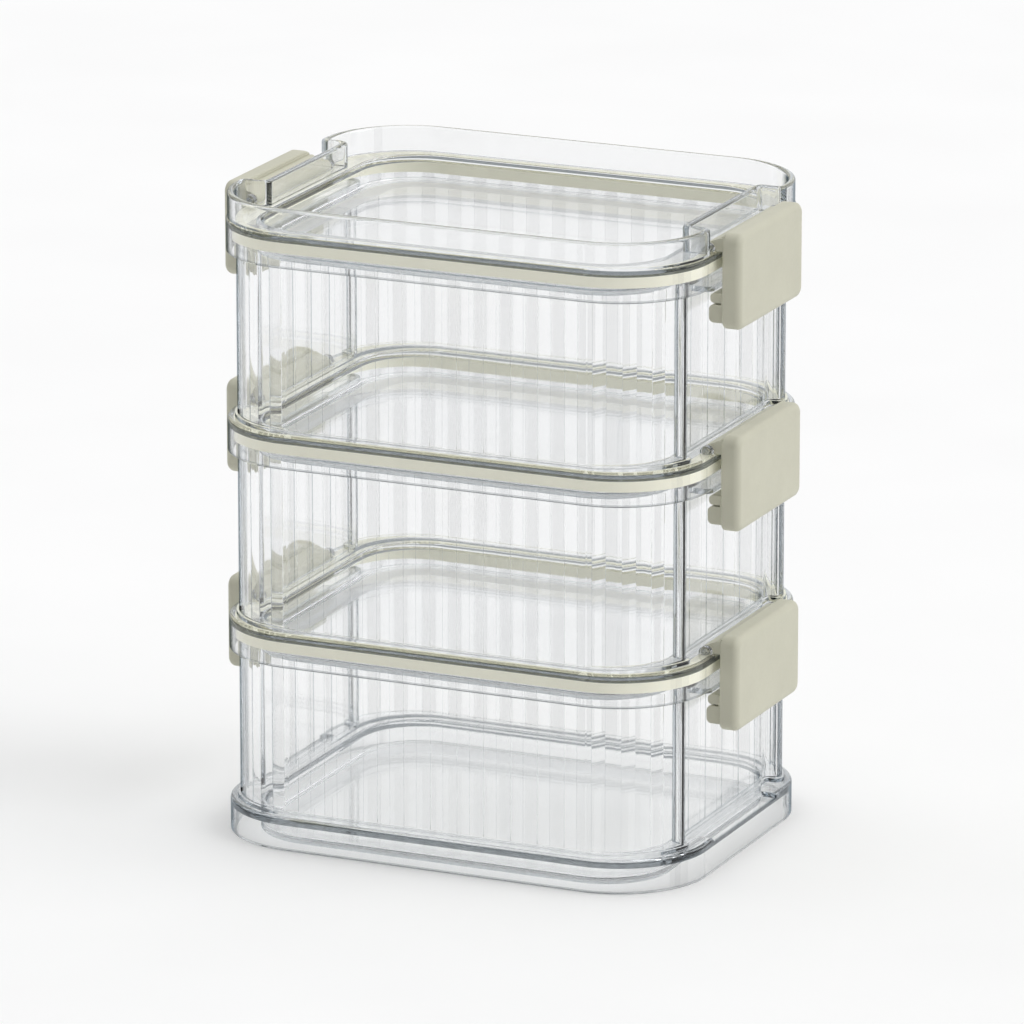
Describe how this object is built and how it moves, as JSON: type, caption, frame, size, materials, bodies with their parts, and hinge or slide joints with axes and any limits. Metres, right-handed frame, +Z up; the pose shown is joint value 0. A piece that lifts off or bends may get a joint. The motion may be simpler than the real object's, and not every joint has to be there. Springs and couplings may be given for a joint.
{
  "type": "stacking latch box",
  "caption": "Clear stacking storage box: fluted tubs, each closing the one below, with a tray lid, seal rings and hinged side latches.",
  "frame": {"origin": "centre of the bottom tub's footprint on the surface it stands on", "axes": "+X to the right along the long side, +Y to the back along the short side, +Z up"},
  "size_m": [0.197, 0.138, 0.232],
  "materials": {
    "clear_plastic": "clear polished moulded acrylic",
    "latch_plastic": "satin beige moulded plastic",
    "seal_silicone": "matt beige silicone",
    "pin_steel": "drawn stainless wire"
  },
  "bodies": {
    "bottom": {"bottom_tub": "clear_plastic"},
    "middle": {"middle_tub": "clear_plastic", "middle_gasket": "seal_silicone", "middle_pin_left": "pin_steel", "middle_pin_right": "pin_steel"},
    "middle_latch_left": {"middle_latch_left": "latch_plastic"},
    "middle_latch_right": {"middle_latch_right": "latch_plastic"},
    "upper": {"upper_tub": "clear_plastic", "upper_gasket": "seal_silicone", "upper_pin_left": "pin_steel", "upper_pin_right": "pin_steel"},
    "upper_latch_left": {"upper_latch_left": "latch_plastic"},
    "upper_latch_right": {"upper_latch_right": "latch_plastic"},
    "lid": {"lid_shell": "clear_plastic", "lid_gasket": "seal_silicone", "lid_pin_left": "pin_steel", "lid_pin_right": "pin_steel"},
    "lid_latch_left": {"lid_latch_left": "latch_plastic"},
    "lid_latch_right": {"lid_latch_right": "latch_plastic"}
  },
  "joints": [
    {"name": "middle_lift", "type": "slide", "parent": "bottom", "child": "middle", "axis": [0, 0, 1], "range_m": [0, 0.012]},
    {"name": "middle_latch_left_swing", "type": "hinge", "parent": "middle", "child": "middle_latch_left", "pos_m": [-0.0868, 0, 0.0796], "axis": [0, 1, 0], "range_deg": [0, 90]},
    {"name": "middle_latch_right_swing", "type": "hinge", "parent": "middle", "child": "middle_latch_right", "pos_m": [0.0868, 0, 0.0796], "axis": [0, -1, 0], "range_deg": [0, 90]},
    {"name": "upper_lift", "type": "slide", "parent": "middle", "child": "upper", "axis": [0, 0, 1], "range_m": [0, 0.012]},
    {"name": "upper_latch_left_swing", "type": "hinge", "parent": "upper", "child": "upper_latch_left", "pos_m": [-0.0868, 0, 0.1516], "axis": [0, 1, 0], "range_deg": [0, 90]},
    {"name": "upper_latch_right_swing", "type": "hinge", "parent": "upper", "child": "upper_latch_right", "pos_m": [0.0868, 0, 0.1516], "axis": [0, -1, 0], "range_deg": [0, 90]},
    {"name": "lid_lift", "type": "slide", "parent": "upper", "child": "lid", "axis": [0, 0, 1], "range_m": [0, 0.012]},
    {"name": "lid_latch_left_swing", "type": "hinge", "parent": "lid", "child": "lid_latch_left", "pos_m": [-0.0868, 0, 0.2236], "axis": [0, 1, 0], "range_deg": [0, 90]},
    {"name": "lid_latch_right_swing", "type": "hinge", "parent": "lid", "child": "lid_latch_right", "pos_m": [0.0868, 0, 0.2236], "axis": [0, -1, 0], "range_deg": [0, 90]}
  ],
  "couplings": [
    {"joint": "middle_latch_left_swing", "follows": "middle_lift", "rad_per_m": 130},
    {"joint": "middle_latch_right_swing", "follows": "middle_lift", "rad_per_m": 130},
    {"joint": "upper_latch_left_swing", "follows": "upper_lift", "rad_per_m": 130},
    {"joint": "upper_latch_right_swing", "follows": "upper_lift", "rad_per_m": 130},
    {"joint": "lid_latch_left_swing", "follows": "lid_lift", "rad_per_m": 130},
    {"joint": "lid_latch_right_swing", "follows": "lid_lift", "rad_per_m": 130}
  ]
}
